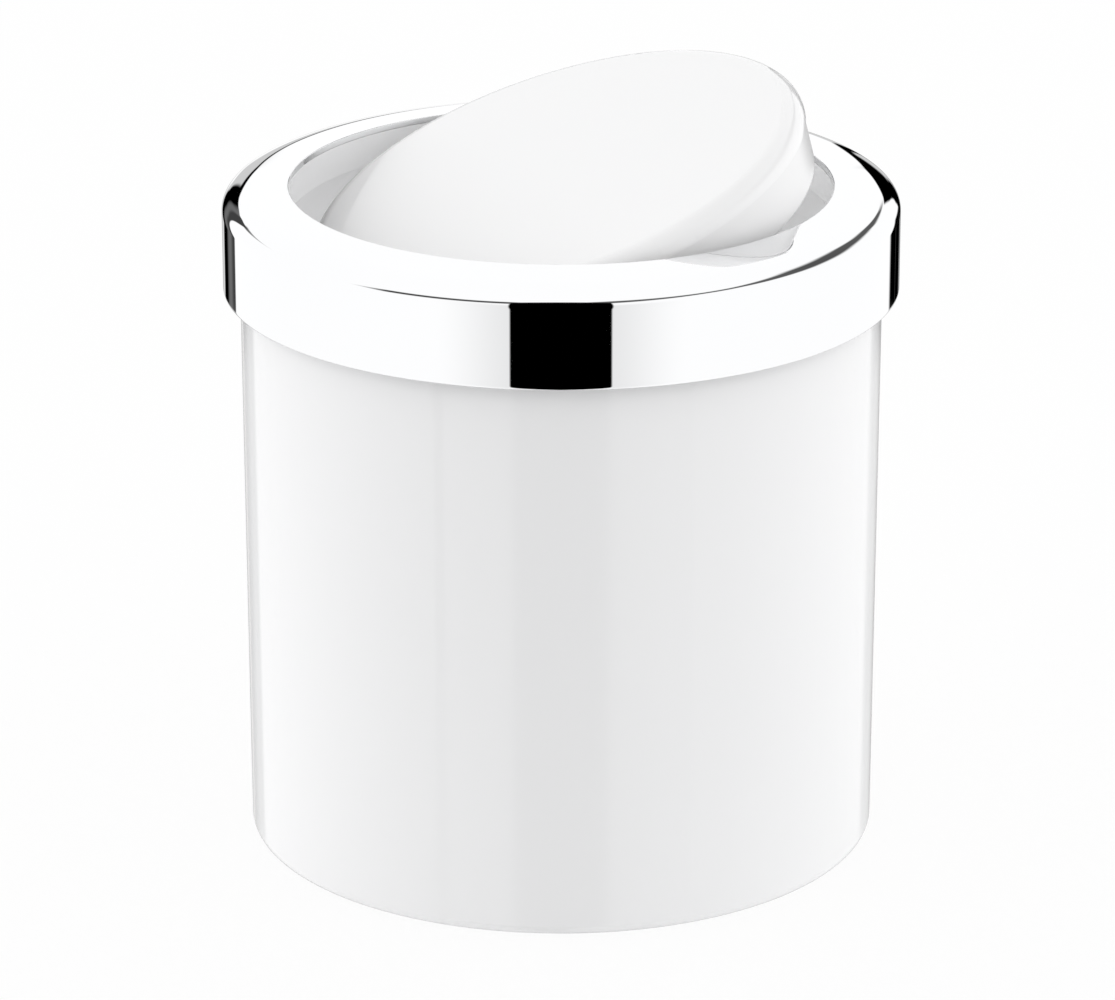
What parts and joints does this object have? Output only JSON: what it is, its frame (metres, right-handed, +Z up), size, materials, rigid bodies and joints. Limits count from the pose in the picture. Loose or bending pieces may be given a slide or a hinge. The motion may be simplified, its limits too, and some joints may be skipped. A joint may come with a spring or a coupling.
{
  "type": "countertop trash can with swing lid",
  "caption": "Small round countertop bin with a chrome rim ring and a ballasted swing lid, carried by a top that lifts off the tub.",
  "frame": {"origin": "centre of the base, on the surface that the bin stands on", "axes": "+Z up along the tub's axis; the lid's hinge line runs along X; +Y is the side where the lid is drawn raised"},
  "size_m": [0.196, 0.196, 0.2249],
  "materials": {
    "tub_white": "injection moulded, glossy",
    "lid_white": "injection moulded, glossy",
    "frame_white": "injection moulded, semi-gloss",
    "chrome": "mirror chrome plate on moulded plastic",
    "bush_acetal": "natural acetal, satin",
    "steel": "bright zinc-plated steel",
    "ballast_steel": "sheared mild steel bar, dull",
    "pad_rubber": "soft moulded rubber, matte"
  },
  "bodies": {
    "bin": {"tub": "tub_white", "foot_pad_front_left": "pad_rubber", "foot_pad_front_right": "pad_rubber", "foot_pad_rear_left": "pad_rubber", "foot_pad_rear_right": "pad_rubber"},
    "top": {"rim_ring": "chrome", "lid_frame": "frame_white", "left_pivot_bush": "bush_acetal", "right_pivot_bush": "bush_acetal", "ring_screws": "steel"},
    "lid": {"lid_cap": "lid_white", "lid_pan": "lid_white", "left_pivot_pin": "steel", "right_pivot_pin": "steel", "front_ballast_bar": "ballast_steel", "rear_ballast_bar": "ballast_steel", "front_bar_nuts": "steel", "rear_bar_nuts": "steel", "lid_screws": "steel"}
  },
  "joints": [
    {"name": "top_lift_off", "type": "slide", "parent": "bin", "child": "top", "axis": [0, 0, 1], "range_m": [0, 0.06]},
    {"name": "lid_swing", "type": "hinge", "parent": "top", "child": "lid", "pos_m": [0, 0, 0.193], "axis": [1, 0, 0], "range_deg": [-94.4, 55.6]}
  ]
}
